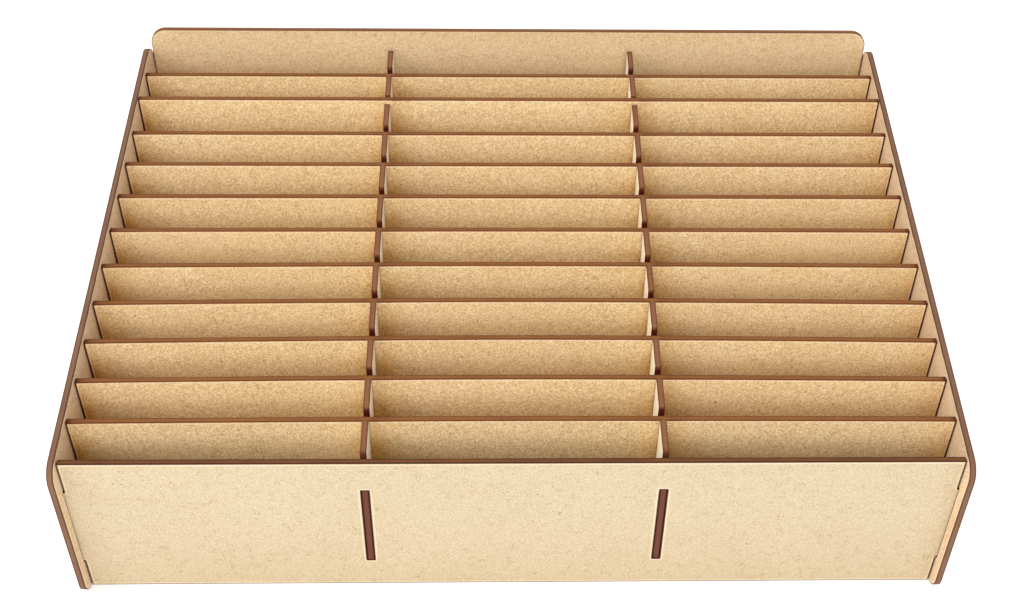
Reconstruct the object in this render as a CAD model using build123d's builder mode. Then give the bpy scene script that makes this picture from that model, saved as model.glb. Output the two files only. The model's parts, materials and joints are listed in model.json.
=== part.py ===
from build123d import *
import os

# Flat-pack paint rack: every piece is one flat panel cut from the same fibreboard.
# Two side panels, a front panel and a back panel stand round a base panel.
# Two partitions run front to back, and loose dividers drop into half-laps in them.
# Millimetres, +Z up, front towards -Y, origin under the middle of the rack.

# ---- driving dimensions ----
board = 3.0                  # thickness of every panel
inner_width = 417.0          # between the side panels' inner faces
partition_spacing = 139.2    # between the middles of the two partitions
rows = 12                    # compartments from front to back
row_pitch = 23.0             # from one cross panel's front face to the next one's
front_height = 86.5          # front panel, and the partitions' top edge above it
row_rise = 4.75              # how much higher each row stands than the one before
divider_drop = 0.7           # a divider's top edge below the partitions' top edge
proud_row = 10               # this divider has shallow laps and so stands proud
proud_height = 3.2           # how far it stands proud
back_height = 154.5
back_corner_radius = 9.0
side_lip_front = 1.8         # side panel above the partitions' line, at the front panel
side_lip_back = 2.8          # and at the back panel
front_overhang = 7.0         # side panel in front of the front panel
side_top_radius = 10.0
side_foot_radius = 8.0
floor_height = 6.0           # from the surface it stands on to the base panel's underside

# ---- joints between panels ----
tab_length = 49.2            # all upright tabs
front_tab_middle = 43.0      # height of the middle of the tabs at the front
back_tab_middle = 77.0       # and at the back
base_tab_length = 40.0
base_tab_spacing = 150.0     # between the middles of the base panel's tabs on one side
tab_recess = 0.2             # a tab's end below the outer face it comes through to

# ---- clearances ----
slot_play = 0.7              # a slot is this much wider than the board in it
slot_end_play = 0.4          # and this much longer than the tab, at each end
end_gap = 0.6                # from the front, back and base panels' ends to the side panel
divider_end_gap = 0.3        # and from a divider's end
partition_front_gap = 2.4    # from a partition's front edge to the front panel
partition_back_gap = 2.7     # from a partition's back edge to the back panel
base_gap = 0.5               # from the base panel to the front and back panels
notch_play_front = 0.2       # partition's notch in front of the divider
notch_play_back = 3.9        # and behind it
lap_play = 1.0               # divider's notch is this much wider than the partition
floor_gap = 0.5              # from a seated divider's lower edge to the base panel

# ---- worked out from the above ----
depth = front_overhang + rows * row_pitch + board
front_face = front_overhang - depth / 2
back_edge = depth / 2
side_inner = inner_width / 2
side_outer = side_inner + board
panel_length = inner_width - 2 * end_gap
divider_length = inner_width - 2 * divider_end_gap
tab_reach = side_outer - tab_recess
floor_top = floor_height + board
slot_width = board + slot_play
slot_length = tab_length + 2 * slot_end_play
slope = row_rise / row_pitch
partition_middles = (-partition_spacing / 2, partition_spacing / 2)


def cross_face(row):
    """Y of the front face of a cross panel: row 0 is the front panel, the last one the back panel."""
    return front_face + row * row_pitch


def partition_top(y):
    """Height of the partitions' sloping top edge."""
    return front_height + slope * (y - front_face)


def side_top(y):
    """Height of the side panels' top edge, which draws away a little from the partitions' line."""
    share = (y - front_face) / (rows * row_pitch)
    return partition_top(y) + side_lip_front + share * (side_lip_back - side_lip_front)


def divider_top(row):
    """Height of a divider's top edge when it is fully down in deep laps."""
    return partition_top(cross_face(row)) - divider_drop


def seat_height(row):
    """Height of the half-lap on which a divider sits: half way up it."""
    return (floor_top + divider_top(row)) / 2


def lift_of_row(row):
    """How far a divider stands above the place that deep laps would give it."""
    return proud_height if row == proud_row else 0.0


def upright(y):
    """Plane of a cross panel's front face, with local X along the rack and local Y up."""
    return Plane.XZ.offset(-y)


def lengthways(x):
    """Plane of a front-to-back panel's left face, with local X backwards and local Y up."""
    return Plane.YZ.offset(x)


def finish(panel, name):
    """Label a finished panel and write its STEP file."""
    panel.part.label = name
    export_step(panel.part, f"parts/{name}.step")


def side_panel(left_face):
    """One side: sloping top, rounded corners, a slot for the front panel's tab,
    an open notch for the back panel's tab and two slots low down for the base panel."""
    front_edge = front_face - front_overhang
    back_panel_face = cross_face(rows)
    with BuildPart() as panel:
        with BuildSketch(lengthways(left_face)) as outline:
            with BuildLine():
                Polyline(
                    (front_edge, 0),
                    (front_edge, side_top(front_edge)),
                    (back_edge, side_top(back_edge)),
                    (back_edge, 0),
                    close=True,
                )
            make_face()
            feet = outline.vertices().group_by(Axis.Y)[0]
            fillet(feet, side_foot_radius)
            shoulders = outline.vertices().filter_by(lambda v: v.Y > side_top(front_edge) - board)
            shoulders = ShapeList(v for v in shoulders if min(v.X - front_edge, back_edge - v.X) < 0.01)
            fillet(shoulders, side_top_radius)
            with Locations((front_face + board / 2, front_tab_middle)):
                Rectangle(slot_width, slot_length, mode=Mode.SUBTRACT)
            with Locations((back_panel_face - slot_play / 2, back_tab_middle)):
                Rectangle(
                    slot_width,
                    slot_length,
                    align=(Align.MIN, Align.CENTER),
                    mode=Mode.SUBTRACT,
                )
            for middle in base_tab_middles():
                with Locations((middle, floor_height + board / 2)):
                    Rectangle(
                        base_tab_length + 2 * slot_end_play,
                        slot_width,
                        mode=Mode.SUBTRACT,
                    )
        extrude(amount=board)
    return panel


def base_tab_middles():
    """Y of the middle of each tab on one side of the base panel."""
    middle = front_face + (rows * row_pitch + board) / 2
    return (middle - base_tab_spacing / 2, middle + base_tab_spacing / 2)


def wall_panel(face, height, tab_middle, corner_radius=0.0):
    """Front or back wall: a tab at each end and a slot for each partition's tab."""
    with BuildPart() as panel:
        with BuildSketch(upright(face)) as outline:
            Rectangle(panel_length, height, align=(Align.CENTER, Align.MIN))
            if corner_radius:
                fillet(outline.vertices().group_by(Axis.Y)[-1], corner_radius)
            with Locations((0, tab_middle)):
                Rectangle(2 * tab_reach, tab_length)
            with Locations(*((x, tab_middle) for x in partition_middles)):
                Rectangle(slot_width, slot_length, mode=Mode.SUBTRACT)
        extrude(amount=-board)
    return panel


def partition(middle):
    """Front-to-back partition: stands on the base panel, is tabbed into both walls
    and is notched from above for every divider."""
    front_edge = front_face + board + partition_front_gap
    back_panel_face = cross_face(rows)
    rear_edge = back_panel_face - partition_back_gap
    front_tab_end = front_face + tab_recess
    back_tab_end = back_panel_face + board - tab_recess
    with BuildPart() as panel:
        with BuildSketch(lengthways(middle - board / 2)):
            with BuildLine():
                Polyline(
                    (front_edge, floor_top),
                    (front_edge, partition_top(front_edge)),
                    (rear_edge, partition_top(rear_edge)),
                    (rear_edge, floor_top),
                    close=True,
                )
            make_face()
            with Locations((front_tab_end, front_tab_middle)):
                Rectangle(
                    front_edge + board - front_tab_end,
                    tab_length,
                    align=(Align.MIN, Align.CENTER),
                )
            with Locations((back_tab_end, back_tab_middle)):
                Rectangle(
                    back_tab_end - rear_edge + board,
                    tab_length,
                    align=(Align.MAX, Align.CENTER),
                )
            for row in range(1, rows):
                with Locations((cross_face(row) - notch_play_front, seat_height(row))):
                    Rectangle(
                        board + notch_play_front + notch_play_back,
                        back_height,
                        align=(Align.MIN, Align.MIN),
                        mode=Mode.SUBTRACT,
                    )
        extrude(amount=board)
    return panel


def divider(row):
    """Loose cross board: notched from below, it sits astride both partitions."""
    bottom = floor_top + floor_gap + lift_of_row(row)
    top = divider_top(row) + lift_of_row(row)
    with BuildPart() as panel:
        with BuildSketch(upright(cross_face(row))):
            with Locations((0, bottom)):
                Rectangle(divider_length, top - bottom, align=(Align.CENTER, Align.MIN))
            with Locations(*((x, seat_height(row)) for x in partition_middles)):
                Rectangle(
                    board + lap_play,
                    back_height,
                    align=(Align.CENTER, Align.MAX),
                    mode=Mode.SUBTRACT,
                )
        extrude(amount=-board)
    return panel


os.makedirs("parts", exist_ok=True)

with BuildPart() as base_panel:
    with BuildSketch(Plane.XY.offset(floor_height)):
        base_front = front_face + board + base_gap
        base_back = cross_face(rows) - base_gap
        with Locations((0, (base_front + base_back) / 2)):
            Rectangle(panel_length, base_back - base_front)
        with Locations(*((0, y) for y in base_tab_middles())):
            Rectangle(2 * tab_reach, base_tab_length)
    extrude(amount=board)
finish(base_panel, "base_panel")

finish(side_panel(-side_outer), "left_side_panel")
finish(side_panel(side_inner), "right_side_panel")
finish(wall_panel(front_face, front_height, front_tab_middle), "front_panel")
finish(
    wall_panel(cross_face(rows), back_height, back_tab_middle, back_corner_radius),
    "back_panel",
)
finish(partition(partition_middles[0]), "left_partition")
finish(partition(partition_middles[1]), "right_partition")
for row in range(1, rows):
    finish(divider(row), f"divider_{row:02d}")
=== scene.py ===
import json
import math

import bpy
import numpy as np
from mathutils import Matrix, Vector
from mathutils.geometry import delaunay_2d_cdt

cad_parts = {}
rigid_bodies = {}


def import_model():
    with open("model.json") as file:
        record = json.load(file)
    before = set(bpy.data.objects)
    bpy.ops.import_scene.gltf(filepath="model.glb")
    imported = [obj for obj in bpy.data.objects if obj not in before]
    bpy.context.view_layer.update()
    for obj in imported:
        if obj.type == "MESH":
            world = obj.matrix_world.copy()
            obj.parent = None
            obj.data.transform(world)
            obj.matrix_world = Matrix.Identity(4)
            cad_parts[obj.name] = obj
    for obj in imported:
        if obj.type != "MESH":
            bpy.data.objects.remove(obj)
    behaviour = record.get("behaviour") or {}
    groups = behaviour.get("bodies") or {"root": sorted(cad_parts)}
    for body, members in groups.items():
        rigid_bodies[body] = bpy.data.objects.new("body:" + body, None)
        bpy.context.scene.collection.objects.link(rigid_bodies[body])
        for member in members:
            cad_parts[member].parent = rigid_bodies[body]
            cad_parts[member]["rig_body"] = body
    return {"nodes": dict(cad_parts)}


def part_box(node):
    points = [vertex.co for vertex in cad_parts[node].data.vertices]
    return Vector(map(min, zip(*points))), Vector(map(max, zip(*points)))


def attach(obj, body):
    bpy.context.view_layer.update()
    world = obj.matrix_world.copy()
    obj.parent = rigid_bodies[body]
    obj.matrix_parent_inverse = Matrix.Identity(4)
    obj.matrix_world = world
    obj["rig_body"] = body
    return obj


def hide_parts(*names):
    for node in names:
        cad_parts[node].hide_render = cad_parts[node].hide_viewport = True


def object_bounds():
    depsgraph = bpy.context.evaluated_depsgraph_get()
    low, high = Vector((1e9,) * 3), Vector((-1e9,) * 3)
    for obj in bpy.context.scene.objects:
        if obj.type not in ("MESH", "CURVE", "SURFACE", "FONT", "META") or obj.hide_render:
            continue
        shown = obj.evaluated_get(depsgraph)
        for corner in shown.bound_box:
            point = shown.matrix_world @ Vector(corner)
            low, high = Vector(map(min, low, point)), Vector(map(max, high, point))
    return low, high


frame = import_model()
cad_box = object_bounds()


# ---- Side panels ----
# Two tall boards that slope up to the back and carry the whole rack. Each is laser cut from raw
# 3 mm fibreboard, so its faces stay pale and its cut edges are burnt brown. The other panels' tabs
# are pushed into slots in them, with no glue and no screws.

ARRIS = 0.0002           # the laser leaves the edge this much rounded
ARRIS_MIDDLE = 0.29 * ARRIS        # how far in from either face the middle of that round lies
RIM_BAND = 0.0005        # a row of points this far down a cut edge, where its dark rim fades
OUTLINE_STEP = 0.0025    # longest stretch between two points of an outline
RINGS = (0.0009, 0.0030, 0.0065)   # distances from the cut at which a face has rows of points
FACE_STEP = 0.008        # side of the squares that the points further in make
CLEAR_OF_RINGS = 0.0032  # those squares' points stay about this far in from the last row
SLACK = 0.97             # a point is left out where a cut is nearer than this share of its own distance
SHARPEST_SMOOTH = 25     # degrees between two faces that are still shaded as one surface
NARROW = 0.009           # a slot or notch no wider than this gets dark red walls: painted shade for the shadow deep inside it


def cut_lines(node):
    """Outlines of a flat panel, read off its CAD mesh: the edges that only one triangle of the
    face on its far side has, joined end to end, outer line anticlockwise and slots clockwise."""
    mesh = frame["nodes"][node].data
    mesh.calc_loop_triangles()
    corners = np.empty(len(mesh.vertices) * 3, np.float32)
    mesh.vertices.foreach_get("co", corners)
    triangles = np.empty(len(mesh.loop_triangles) * 3, np.int32)
    mesh.loop_triangles.foreach_get("vertices", triangles)
    places, merged = np.unique(np.round(corners.reshape(-1, 3), 6), axis=0, return_inverse=True)
    triangles = merged.ravel()[triangles].reshape(-1, 3)
    thin = int(np.argmin(np.ptp(places, axis=0)))
    far_side = np.all(places[triangles][:, :, thin] > places[:, thin].max() - ARRIS, axis=1)
    edges = np.stack([triangles, np.roll(triangles, -1, axis=1)], axis=-1)[far_side].reshape(-1, 2)
    count = len(places)
    inner = np.isin(edges @ (count, 1), edges @ (1, count))
    following = dict(edges[~inner].tolist())
    flat = np.delete(places, thin, axis=1)
    loops = []
    while following:
        chain = [next(iter(following))]
        while chain[-1] in following:
            chain.append(following.pop(chain[-1]))
        loops.append(flat[chain[:-1]].astype(float))
    loops.sort(key=lambda loop: -np.ptp(loop, axis=0).max())
    if signed_area(loops[0]) < 0:
        loops = [loop[::-1] for loop in loops]
    return loops, thin


def signed_area(loop):
    """Half the sum of the cross products of neighbouring points, above zero if anticlockwise."""
    x, y = loop.T
    return 0.5 * np.sum(x * np.roll(y, -1) - y * np.roll(x, -1))


def stepped(loop):
    """The same closed line with every edge cut into equal parts no longer than OUTLINE_STEP."""
    edge = np.roll(loop, -1, axis=0) - loop
    parts = np.ceil(np.linalg.norm(edge, axis=1) / OUTLINE_STEP).astype(int)
    start = np.repeat(np.cumsum(parts) - parts, parts)
    share = (np.arange(parts.sum()) - start) / np.repeat(parts, parts)
    return np.repeat(loop, parts, axis=0) + share[:, None] * np.repeat(edge, parts, axis=0)


def inward(loop):
    """At each point, the mitred step to the left of the line: the two edges' normals added up
    and stretched so that both edges move in by one."""
    edge = np.roll(loop, -1, axis=0) - loop
    normal = np.stack([-edge[:, 1], edge[:, 0]], axis=1) / np.linalg.norm(edge, axis=1)[:, None]
    before = np.roll(normal, 1, axis=0)
    return (normal + before) / (1 + np.sum(normal * before, axis=1))[:, None]


def from_lines(points, loops):
    """Distance of each point from the nearest edge of the outlines, and whether it is on the
    board: a ray from it to the right crosses them an odd number of times."""
    a = np.concatenate(loops)
    b = np.concatenate([np.roll(loop, -1, axis=0) for loop in loops])
    edge, gap = b - a, points[:, None] - a
    share = np.clip(np.sum(gap * edge, axis=2) / np.sum(edge * edge, axis=1), 0, 1)
    distance = np.linalg.norm(gap - share[..., None] * edge, axis=2).min(axis=1)
    crossed = (a[:, 1] > points[:, 1:]) != (b[:, 1] > points[:, 1:])
    rise = np.where(edge[:, 1] == 0, 1, edge[:, 1])
    to_the_right = points[:, :1] < a[:, 0] + gap[..., 1] * edge[:, 0] / rise
    return distance, np.sum(crossed & to_the_right, axis=1) % 2 == 1


def across_gap(line, step, outlines):
    """How far it is from each point of an outline, straight out of the board, to the next cut:
    the least positive share of the outward ray at which it crosses an edge."""
    start = np.concatenate(outlines)
    edge = np.concatenate([np.roll(loop, -1, axis=0) for loop in outlines]) - start
    out = -step / np.linalg.norm(step, axis=1)[:, None]
    gap = start - line[:, None]
    turn = out[:, :1] * edge[:, 1] - out[:, 1:] * edge[:, 0]
    turn = np.where(np.abs(turn) < 1e-9, 1e-9, turn)
    reach = (gap[..., 0] * edge[:, 1] - gap[..., 1] * edge[:, 0]) / turn
    share = (gap[..., 0] * out[:, 1:] - gap[..., 1] * out[:, :1]) / turn
    crosses = (reach > ARRIS) & (share >= 0) & (share <= 1)
    return np.where(crosses, reach, np.inf).min(axis=1)


def cut_board(node, number, material, bow=None, smoke_and_shade_at=None):
    """A laser-cut board in place of a CAD panel. The edge is a profile carried along each
    outline: in by the arris on one face, round it, across the thickness and round to the other
    face. Each face is filled with points at fixed distances from the cut and a square grid
    further in, joined by Delaunay triangles. number gives the board a grain of its own, bow(u)
    bends it out of its plane, and smoke_and_shade_at(u, v) says how brown it is, from 0 to 1, which
    carries both real smoke and painted shade. The walls of narrow slots and notches are always as brown
    as can be, as painted shade for the shadow deep in them."""
    outlines, thin = cut_lines(node)
    low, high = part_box(node)
    thickness = high[thin] - low[thin]
    lines = [stepped(loop) for loop in outlines]
    steps = [inward(line) for line in lines]
    line = np.concatenate(lines)
    step = np.concatenate(steps)

    near = line + ARRIS * step
    rows_in = [line + ring * step for ring in RINGS]
    wanted = np.repeat(RINGS, len(line))
    corner, far_corner = outlines[0].min(axis=0), outlines[0].max(axis=0)
    squares = [np.arange(a + FACE_STEP, b, FACE_STEP) for a, b in zip(corner, far_corner)]
    grid = np.stack(np.meshgrid(*squares), axis=-1).reshape(-1, 2)
    free = np.concatenate([*rows_in, grid])
    wanted = np.concatenate([wanted, np.full(len(grid), RINGS[-1] + CLEAR_OF_RINGS)])
    distance, on_board = from_lines(free, outlines)
    kept = on_board & (distance > SLACK * wanted)
    free, distance = free[kept], distance[kept]

    sizes = np.array([len(one) for one in lines])
    starts = np.repeat(np.cumsum(sizes) - sizes, sizes)
    following = starts + (np.arange(len(line)) - starts + 1) % np.repeat(sizes, sizes)
    edges = np.stack([np.arange(len(line)), following], axis=1)
    points = np.concatenate([near, free]).tolist()
    inside_only, same_point = 1, 1e-7
    filled = delaunay_2d_cdt(points, edges.tolist(), [], inside_only, same_point, True)
    flat = np.array(filled[0])
    triangles = np.array(filled[2])
    source = np.array([given[0] for given in filled[3]])
    place_of = np.empty(len(source), int)
    place_of[source] = np.arange(len(source))
    middles = flat[triangles].mean(axis=1)
    triangles = triangles[from_lines(middles, outlines)[1]]
    rim = place_of[np.arange(len(line))]

    profile = [(ARRIS_MIDDLE, ARRIS_MIDDLE), (0, ARRIS), (0, RIM_BAND), (0, thickness / 2)]
    profile += [(side_in, thickness - depth) for side_in, depth in profile[-2::-1]]
    wall = np.concatenate([line + side_in * step for side_in, depth in profile])
    wall_depth = np.repeat([depth for side_in, depth in profile], len(line))

    count = len(flat)
    wall_at = 2 * count + np.arange(len(profile) * len(line)).reshape(len(profile), -1)
    rows = np.concatenate([rim[None], wall_at, count + rim[None]])
    quads = np.stack([rows[:-1], rows[1:], rows[1:, following], rows[:-1, following]], axis=-1)
    faces = triangles[:, ::-1].tolist() + (count + triangles).tolist() + quads.reshape(-1, 4).tolist()

    depth = np.concatenate([np.zeros(count), np.full(count, thickness), wall_depth])
    spread = np.concatenate([flat, flat, wall])
    if bow is not None:
        depth = depth + bow(spread[:, 0])
    place = np.insert(spread, thin, depth + low[thin], axis=1)
    if thin == 1:
        faces = [face[::-1] for face in faces]

    mesh = bpy.data.meshes.new(node + "_board")
    mesh.from_pydata(place.tolist(), [], faces)
    face_distance = np.concatenate([np.full(len(line), ARRIS), distance])[source]
    wall_distance = ARRIS_MIDDLE - np.minimum(wall_depth, thickness - wall_depth)
    lengths = np.linalg.norm(line[following] - line, axis=1)
    run = np.cumsum(lengths) - lengths
    run = run - run[starts]
    total = np.repeat([lengths[s == starts].sum() for s in np.unique(starts)], sizes)
    along = np.minimum(run, total - run)
    face_along = np.concatenate([along, np.zeros(len(free))])[source]
    smoke_and_shade = np.zeros(count + len(line))
    if smoke_and_shade_at is not None:
        smoke_and_shade = smoke_and_shade_at(*np.concatenate([flat, line]).T)
    face_smoke_and_shade, wall_smoke_and_shade = smoke_and_shade[:count], smoke_and_shade[count:]
    # painted shade: the walls of narrow slots and notches are darkened fully for the shadow deep inside
    # them
    narrow_slot_shade = (across_gap(line, step, outlines) < NARROW).astype(float)
    wall_smoke_and_shade = np.maximum(wall_smoke_and_shade, narrow_slot_shade)
    floats = {
        "smoke_and_shade": np.concatenate([face_smoke_and_shade, face_smoke_and_shade, np.tile(wall_smoke_and_shade, len(profile))]),
        "from_cut": np.concatenate([face_distance, face_distance, wall_distance]),
        "along_cut": np.concatenate([face_along, face_along, np.tile(along, len(profile))]),
        "board_number": np.full(len(place), float(number)),
    }
    for name, values in floats.items():
        mesh.attributes.new(name, "FLOAT", "POINT").data.foreach_set("value", values.astype(np.float32))
    mesh.materials.append(material)
    mesh.shade_smooth()
    mesh.set_sharp_from_angle(angle=math.radians(SHARPEST_SMOOTH))
    mesh.validate()

    board = bpy.data.objects.new(node + "_board", mesh)
    bpy.context.scene.collection.objects.link(board)
    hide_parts(node)
    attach(board, frame["nodes"][node]["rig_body"])


class Wire:
    """One output socket of a material, used in sums: each operator adds a Math node."""

    def __init__(self, tree, socket=None):
        self.tree, self.socket = tree, socket

    def node(self, kind, settings, inputs, output=0):
        """Adds a node of a kind: its settings are set first, then its sockets by name or place."""
        made = self.tree.nodes.new("ShaderNode" + kind)
        for name, value in settings.items():
            setattr(made, name, value)
        for name, value in inputs.items():
            if isinstance(name, str):
                sockets = [s for s in made.inputs if s.enabled and s.name == name]
            else:
                sockets = [made.inputs[name]]
            if isinstance(value, Wire):
                self.tree.links.new(value.socket, sockets[0])
            else:
                sockets[0].default_value = value
        outputs = [s for s in made.outputs if s.enabled]
        found = outputs[output] if isinstance(output, int) else made.outputs[output]
        return Wire(self.tree, found)

    def math(self, operation, *values):
        return self.node("Math", {"operation": operation}, dict(enumerate(values)))

    def __add__(self, other):
        return self.math("ADD", self, other)

    def __sub__(self, other):
        return self.math("SUBTRACT", self, other)

    def __rsub__(self, other):
        return self.math("SUBTRACT", other, self)

    def __mul__(self, other):
        return self.math("MULTIPLY", self, other)

    __radd__, __rmul__ = __add__, __mul__

    def __abs__(self):
        return self.math("ABSOLUTE", self)

    def ramp(self, low, high, soft=True):
        """0 up to low, 1 from high, and a smooth or straight rise between them."""
        kind = "SMOOTHSTEP" if soft else "LINEAR"
        ends = {"Value": self, "From Min": low, "From Max": high}
        return self.node("MapRange", {"interpolation_type": kind}, ends)

    def mixed(self, first, second, blend="MIX"):
        """first where this value is 0, second where it is 1."""
        settings = {"data_type": "RGBA", "blend_type": blend}
        return self.node("Mix", settings, {"Factor": self, "A": first, "B": second})


def colour(red, green, blue):
    """A colour as it looks on a screen, 0 to 255, as the linear light that shaders work in."""
    share = np.array([red, green, blue]) / 255
    linear = np.where(share <= 0.04045, share / 12.92, ((share + 0.055) / 1.055) ** 2.4)
    return (*linear.tolist(), 1.0)


def fibreboard(name, pale, deep, smoky, burn, scorch):
    """Raw medium-density fibreboard cut by laser. pale and deep are the two shades that its
    fibres wander between, and smoky is how strongly it is stained next to the cuts. burn and
    scorch are the cut edge's lighter shade and the darker one at its two corners."""
    material = bpy.data.materials.new(name)
    material.use_nodes = True
    tree = material.node_tree
    tree.nodes.clear()
    w = Wire(tree)
    place = w.node("TexCoord", {}, {}, "Object")
    from_cut = w.node("Attribute", {"attribute_name": "from_cut"}, {}, "Fac")
    along = w.node("Attribute", {"attribute_name": "along_cut"}, {}, "Fac")
    number = w.node("Attribute", {"attribute_name": "board_number"}, {}, "Fac")
    smoke_and_shade = w.node("Attribute", {"attribute_name": "smoke_and_shade"}, {}, "Fac")

    def grain(size, detail, roughness=0.5, distortion=0.0, turn=0.0):
        """Noise whose lumps are about size metres across, different on every board."""
        inputs = {
            "Vector": place,
            "W": number * 3.7 + turn,
            "Scale": 1 / size,
            "Detail": detail,
            "Roughness": roughness,
            "Distortion": distortion,
        }
        return w.node("TexNoise", {"noise_dimensions": "4D"}, inputs)

    # the pressed pulp, from single fibres to clouds some centimetres across
    pulp = grain(0.00085, 2.0, 0.7)
    lumps = grain(0.0026, 2.0, 0.6, 0.8, 11.0)
    clouds = grain(0.045, 2.0, 0.5, 0.3, 23.0)
    mottle = 0.80 * pulp + 0.12 * lumps + 0.08 * clouds
    face = mottle.ramp(0.36, 0.64, soft=False).mixed(deep, pale)

    # thin dark strands of bark, in patches
    strands = grain(0.0034, 1.0, 0.5, 1.6, 31.0)
    strand = 1 - abs(strands - 0.5).ramp(0.004, 0.024)
    patchy = grain(0.005, 0.0, turn=41.0).ramp(0.50, 0.60)
    face = (0.50 * strand * patchy).mixed(face, colour(146, 106, 66))

    # a round dark speck in the middle of one cell in four
    cells = {"Vector": place, "Scale": 1 / 0.0058, "Randomness": 1.0, "W": number * 1.9}
    near = w.node("TexVoronoi", {"voronoi_dimensions": "4D"}, cells)
    chance = w.node("TexVoronoi", {"voronoi_dimensions": "4D"}, cells, "Color")
    picked = w.node("SeparateColor", {}, {"Color": chance}, 0).ramp(0.72, 0.78)
    speck = picked * (1 - near.ramp(0.05, 0.11))
    face = (0.8 * speck).mixed(face, colour(100, 66, 42))

    # smoke from the laser: a stain along the cuts, stronger on some boards; then an amber tint that
    # follows the smoke and shade carried by the points: real smoke on the partitions' tabs, and painted
    # shade in the divider cells' corners, at the divider ends, in narrow notches and at the front
    # board's foot
    drift = grain(0.024, 2.0, 0.55, 0.0, 53.0)
    luck = w.node("TexWhiteNoise", {"noise_dimensions": "1D"}, {"W": number * 5.1}).ramp(0.3, 1.0)
    stain = (1 - from_cut.ramp(0.0, 0.007)) * (0.25 + 0.75 * luck) * drift.ramp(0.36, 0.62)
    face = (smoky * stain).mixed(face, colour(236, 208, 146), "MULTIPLY")
    amber_smoke_and_shade = smoke_and_shade * (0.75 + 0.6 * (drift - 0.35)).ramp(0.0, 1.0, soft=False)
    face = amber_smoke_and_shade.mixed(face, colour(208, 170, 86), "MULTIPLY")
    # a painted highlight: a pale line just inside every cut, standing in for the bright rim along the
    # faces' edges
    edge_highlight = from_cut.ramp(0.0005, 0.0008) * (1 - from_cut.ramp(0.0010, 0.0018))
    face = (0.48 * (1 - smoky) * edge_highlight).mixed(face, colour(255, 236, 204))

    # the burnt edge: streaks where the laser stepped along, darker at both rims, and dark red where the
    # points carry smoke and shade: burnt on the partitions' tabs, painted shade in narrow slots and
    # notches, at the divider ends and in the cell corners
    streaks_at = w.node("CombineXYZ", {}, {"X": along, "Y": number})
    streak = w.node(
        "TexNoise", {"noise_dimensions": "2D"}, {"Vector": streaks_at, "Scale": 2400.0, "Detail": 2.0}
    )
    sweep = grain(0.018, 2.0, turn=67.0)
    char = (0.5 * streak + 0.5 * sweep).ramp(0.34, 0.66, soft=False)
    edge = (0.5 + 0.5 * char).mixed(scorch, burn)
    rim = 1 - abs(from_cut).ramp(0.0003, 0.0008)
    edge = (0.85 * rim).mixed(edge, scorch)
    # painted shade: the near-black red of the shadow deep in notches and gaps
    edge = smoke_and_shade.mixed(edge, colour(70, 8, 3))
    burnt = 1 - (from_cut - 0.0005 * smoke_and_shade).ramp(0.00028, 0.00058)
    surface = burnt.mixed(face, edge)

    # charred wood is a little glossier than the raw pulp
    rough = 0.86 - 0.22 * burnt + 0.10 * (pulp - 0.5)
    height = pulp + 0.5 * lumps
    bump = w.node("Bump", {}, {"Strength": 0.35, "Distance": 0.00012, "Height": height})
    shader = {"Base Color": surface, "Roughness": rough, "Normal": bump, "Specular IOR Level": 0.25}
    finished = w.node("BsdfPrincipled", {}, shader)
    output = tree.nodes.new("ShaderNodeOutputMaterial")
    tree.links.new(finished.socket, output.inputs["Surface"])
    return material


raw_board = fibreboard(
    "raw_fibreboard",
    pale=colour(238, 214, 181),
    deep=colour(206, 173, 135),
    smoky=0.3,
    burn=colour(128, 92, 68),
    scorch=colour(84, 50, 34),
)
cut_board("left_side_panel", 1, raw_board)
cut_board("right_side_panel", 2, raw_board)


# ---- Front and back panels ----
# The low front board and the tall back board with rounded corners. Each has a tab at both ends
# that is pushed into the side panels, and two slots that take the partitions' tabs. The front
# board is the dullest and has the darkest edge; the back board is the smokiest along its cuts.

FOOT_SHADE = 0.16        # how much painted shade darkens the front board at its foot
FOOT_HEIGHT = 0.05       # and how far up it is still darker than the rest

front_board = fibreboard(
    "front_fibreboard",
    pale=colour(211, 196, 167),
    deep=colour(187, 166, 132),
    smoky=0.3,
    burn=colour(115, 69, 28),
    scorch=colour(54, 18, 4),
)
back_board = fibreboard(
    "back_fibreboard",
    pale=colour(232, 208, 168),
    deep=colour(200, 167, 123),
    smoky=0.85,
    burn=colour(134, 86, 46),
    scorch=colour(100, 60, 30),
)


def foot_shade(x, z):
    """Painted shade on the front board, darker towards its foot: FOOT_SHADE at its foot, falling evenly
    to none at FOOT_HEIGHT.
    """
    return FOOT_SHADE * np.clip(1 - z / FOOT_HEIGHT, 0, 1)


cut_board("front_panel", 3, front_board, smoke_and_shade_at=foot_shade)
cut_board("back_panel", 4, back_board)


# ---- Base panel ----
# The floor of the rack, from the same sheet. Two tabs on each side hold it in the side panels,
# a few millimetres above the surface that the rack stands on.

cut_board("base_panel", 5, raw_board)


# ---- Partitions ----
# Two boards from front to back, notched from above for every divider. They are paler and pinker than
# the other boards: partly a paler sheet, partly painted light falling on their open faces from the
# lamps. Their tabs are pushed into the front and back panels.

TAB_SMOKE = 0.60         # the ends of the tabs are burnt darker than the long cuts
TAB_REACH = 0.0056       # from their ends to the upright edges that they stand out from

# partly the paler sheet's own colour, partly painted light on the partitions' open faces
pale_and_lit_board = fibreboard(
    "pale_and_lit_fibreboard",
    pale=colour(255, 249, 224),
    deep=colour(248, 232, 198),
    smoky=0.3,
    burn=colour(136, 88, 56),
    scorch=colour(98, 54, 30),
)


def tab_smoke(low, high):
    """Smoke on a partition's tabs and on the upright edges at their roots, and none further in."""
    return lambda y, z: TAB_SMOKE * (np.minimum(y - low.y, high.y - y) < TAB_REACH)


for number, name in enumerate(("left_partition", "right_partition"), start=6):
    cut_board(name, number, pale_and_lit_board, smoke_and_shade_at=tab_smoke(*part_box(name)))


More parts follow.
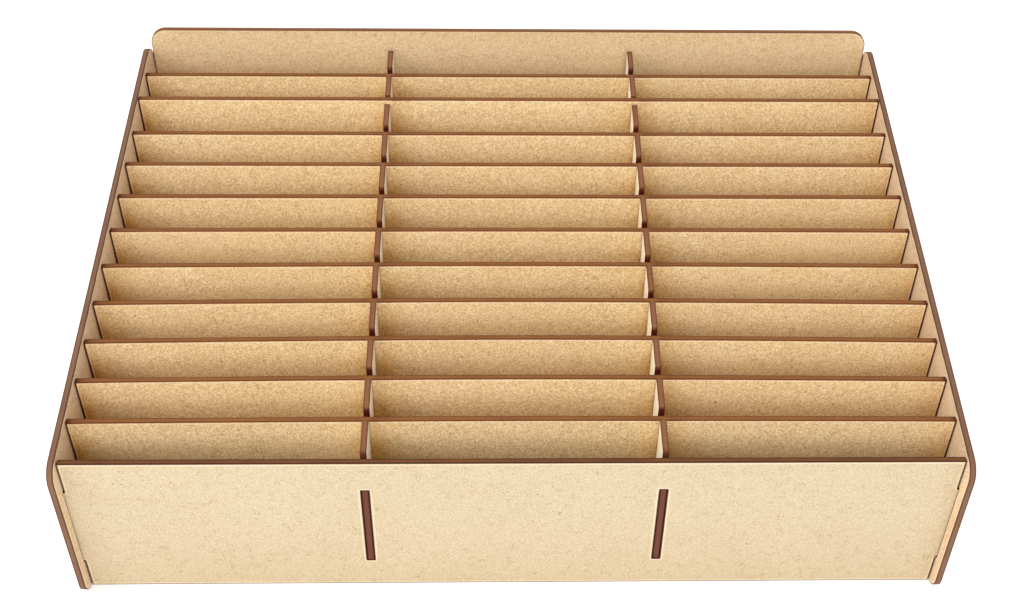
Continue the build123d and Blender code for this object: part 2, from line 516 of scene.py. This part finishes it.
# ---- Dividers ----
# Eleven loose boards that drop over the partitions in half-laps. Thin fibreboard warps as it
# dries, so the ends of the ones near the front stand a little nearer to the front.

MOST_WARP = 0.0026       # from a warped divider's ends to its middle, in the row that is bent most
WARPED_ROW = 3.2         # that row, which falls between two dividers
WARP_SPREAD = 2.4        # and the rows away from it at which 37 percent of the warp is left
WARP_POWER = 1.6         # 2 would be an even bend; less bends the middle more
MIDDLE_SHARE = 0.25      # the share of the warp that moves the middle back, and not the ends forward
RIGHT_SHADE, RIGHT_REACH = 1.2, 0.009   # painted shadow on the right of a wall, the side away from the left lamp, and how far it reaches
RIGHT_FADE = 1.5         # it holds for longer than the shade on the left, then fades faster
LEFT_SHADE, LEFT_REACH = 0.8, 0.006     # painted shade on the left of a wall, and how far it reaches
TOP_SHADE, TOP_REACH = 0.3, 0.018       # the share at the top edge, and how far down it is less than 1
END_BURN_AND_GAP_SHADE = 0.0005     # the ends are dark this far in: partly their burnt rim, partly a painted shadow of the gap beside the side panel

# the dividers' yellower colour is partly their own, partly painted shade: the warm light bounced
# between the boards in the cells
divider_board_and_warm_shade = fibreboard(
    "smoky_fibreboard",
    pale=colour(253, 230, 184),
    deep=colour(205, 166, 113),
    smoky=0.35,
    burn=colour(136, 89, 40),
    scorch=colour(100, 46, 8),
)
wall_names = [name for name in frame["nodes"] if name.endswith(("side_panel", "partition"))]
cell_walls = [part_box(name) for name in wall_names]
divider_names = sorted(name for name in frame["nodes"] if name.startswith("divider_"))


def cell_corner_shade(end, top):
    """Painted shade in the corners of the cells, amber like light bounced between the boards: strongest
    beside the wall on a cell's left, which shades it from the left lamp, and weaker beside the one on
    its right. Each dies away as e to the power of minus the distance over its reach, on the left with
    that ratio raised to RIGHT_FADE first, and their sum is at most 1. It is less towards the top, but
    the ends themselves are dark all the way up: partly their burnt rim, partly a painted shadow of the
    gap beside the side panel."""

    def amount(x, z):
        right_of = np.min([np.where(x > high.x, x - high.x, 1) for low, high in cell_walls], axis=0)
        left_of = np.min([np.where(x < low.x, low.x - x, 1) for low, high in cell_walls], axis=0)
        strong = RIGHT_SHADE * np.exp(-((right_of / RIGHT_REACH) ** RIGHT_FADE))
        weak = LEFT_SHADE * np.exp(-left_of / LEFT_REACH)
        corner = np.clip(strong + weak, 0, 1) * np.clip((top - z) / TOP_REACH, TOP_SHADE, 1)
        # dark ends: the burnt rim widened as a painted shadow of the gap beside the side panel
        return np.maximum(corner, np.abs(x) > end - END_BURN_AND_GAP_SHADE)

    return amount


def warped(end, row):
    """How a divider is bent: its warp times (MIDDLE_SHARE less the share of the way from the
    middle to an end, to the power WARP_POWER). The warp is a bell curve over the rows."""
    warp = MOST_WARP * math.exp(-(((row - WARPED_ROW) / WARP_SPREAD) ** 2))
    return lambda x: warp * (MIDDLE_SHARE - np.abs(x / end) ** WARP_POWER)


# each divider gets painted shade in its cell corners and dark ends
for row, name in enumerate(divider_names, start=1):
    far_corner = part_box(name)[1]
    smoke_and_shade_at = cell_corner_shade(far_corner.x, far_corner.z)
    cut_board(name, 10 + row, divider_board_and_warm_shade, warped(far_corner.x, row), smoke_and_shade_at)


# ---- Studio ----
# The rack stands on a wide white table top in soft white light from every side, with one broad
# lamp in front of it and one on its left. The table top is lit a little from within, like a
# light table, so that it stays white close to the rack.

table_half = 6.0         # metres from the middle of the table top to its sides
lamp_distance = 3.0      # from the middle of the rack
lamp_size = 1.6
floor_mesh = bpy.data.meshes.new("table_top")
corners = [(-table_half, -table_half, 0), (table_half, -table_half, 0)]
corners += [(table_half, table_half, 0), (-table_half, table_half, 0)]
floor_mesh.from_pydata(corners, [], [(0, 1, 2, 3)])
floor = bpy.data.objects.new("table_top", floor_mesh)
bpy.context.scene.collection.objects.link(floor)
white = bpy.data.materials.new("white_table")
white.use_nodes = True
laminate = white.node_tree.nodes["Principled BSDF"].inputs
laminate["Base Color"].default_value = (0.93, 0.93, 0.93, 1)
laminate["Roughness"].default_value = 0.9
laminate["Emission Color"].default_value = (1.0, 1.0, 1.0, 1)
laminate["Emission Strength"].default_value = 0.2
floor_mesh.materials.append(white)

world = bpy.data.worlds.new("soft_white")
world.use_nodes = True
sky = world.node_tree.nodes["Background"].inputs
sky["Color"].default_value = (1.0, 1.0, 1.0, 1)
sky["Strength"].default_value = 0.97
bpy.context.scene.world = world
bpy.context.scene.view_settings.view_transform = "Standard"


def soft_lamp(name, place, target, size, power):
    """A square soft lamp at place that points at target."""
    light = bpy.data.lights.new(name, "AREA")
    light.size, light.energy = size, power
    lamp = bpy.data.objects.new(name, light)
    bpy.context.scene.collection.objects.link(lamp)
    aim = target - place
    lamp.matrix_world = Matrix.Translation(place) @ aim.to_track_quat("-Z", "Y").to_matrix().to_4x4()


low_corner, high_corner = cad_box
middle = (low_corner + high_corner) / 2


def towards(azimuth, elevation, distance):
    """The point at that distance from the middle of the rack. Azimuth 0 is straight in front of
    it and 90 on its right; both angles are in degrees."""
    around, up = math.radians(azimuth), math.radians(elevation)
    flat = math.cos(up)
    return middle + distance * Vector((math.sin(around) * flat, -math.cos(around) * flat, math.sin(up)))


soft_lamp("front_lamp", towards(0, 32, lamp_distance), middle, lamp_size, power=26.8)
soft_lamp("left_lamp", towards(-75, 35, lamp_distance), middle, lamp_size, power=36.1)

camera_data = bpy.data.cameras.new("camera")
camera_data.lens = 47.47
camera_data.shift_x = -0.0169
camera_data.clip_start = 0.01
camera = bpy.data.objects.new("camera", camera_data)
bpy.context.scene.collection.objects.link(camera)

# the camera looks down on the rack from in front, turned a little to the right and tilted
camera_place = (-0.0093, -0.5585, 0.5407)
turned, lowered, tilted = (math.radians(angle) for angle in (1.933, 40.505, 1.223))
camera.matrix_world = (
    Matrix.Translation(camera_place)
    @ Matrix.Rotation(-turned, 4, "Z")
    @ Matrix.Rotation(math.radians(90) - lowered, 4, "X")
    @ Matrix.Rotation(tilted, 4, "Z")
)
bpy.context.scene.camera = camera
